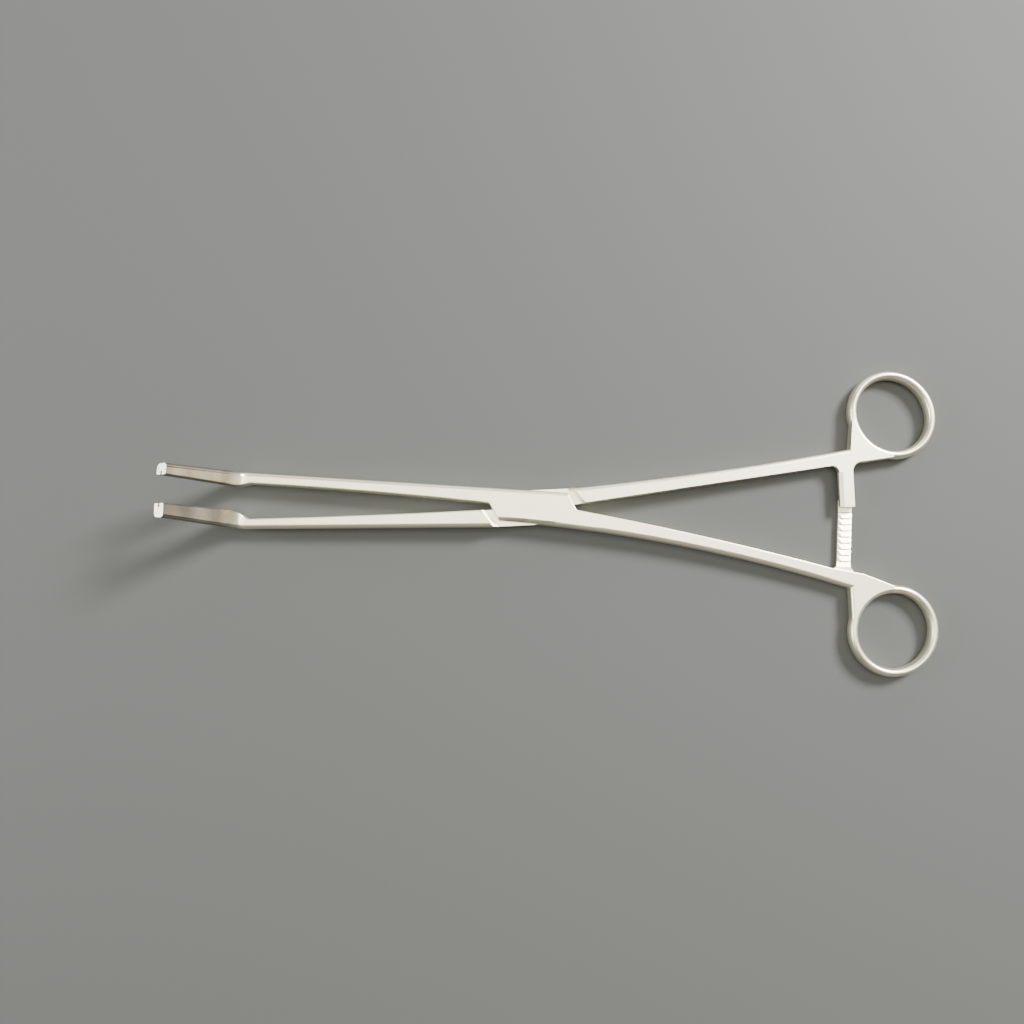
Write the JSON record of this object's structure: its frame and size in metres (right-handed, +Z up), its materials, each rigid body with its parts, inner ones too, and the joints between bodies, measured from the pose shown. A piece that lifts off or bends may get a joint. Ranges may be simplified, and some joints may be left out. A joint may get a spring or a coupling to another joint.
{
  "type": "stomach resection clamp",
  "caption": "Ratcheted surgical clamp with bent grooved jaws, a pinned box lock and finger rings.",
  "frame": {"origin": "on the axis of the joint pin, at the flat underside of the box lock", "axes": "+X along the clamp from the jaws to the finger rings, +Z up along the joint pin, the way the jaws bend"},
  "size_m": [0.2504, 0.1019, 0.0283],
  "materials": {
    "female_half": "satin",
    "male_half": "satin",
    "joint_pin": "polished"
  },
  "bodies": {
    "female": {"female_half": "female_half", "joint_pin": "joint_pin"},
    "male": {"male_half": "male_half"}
  },
  "joints": [
    {"name": "box_lock", "type": "hinge", "parent": "female", "child": "male", "pos_m": [0, 0, 0.0034], "axis": [0, 0, 1], "range_deg": [-4.4, 27]}
  ]
}
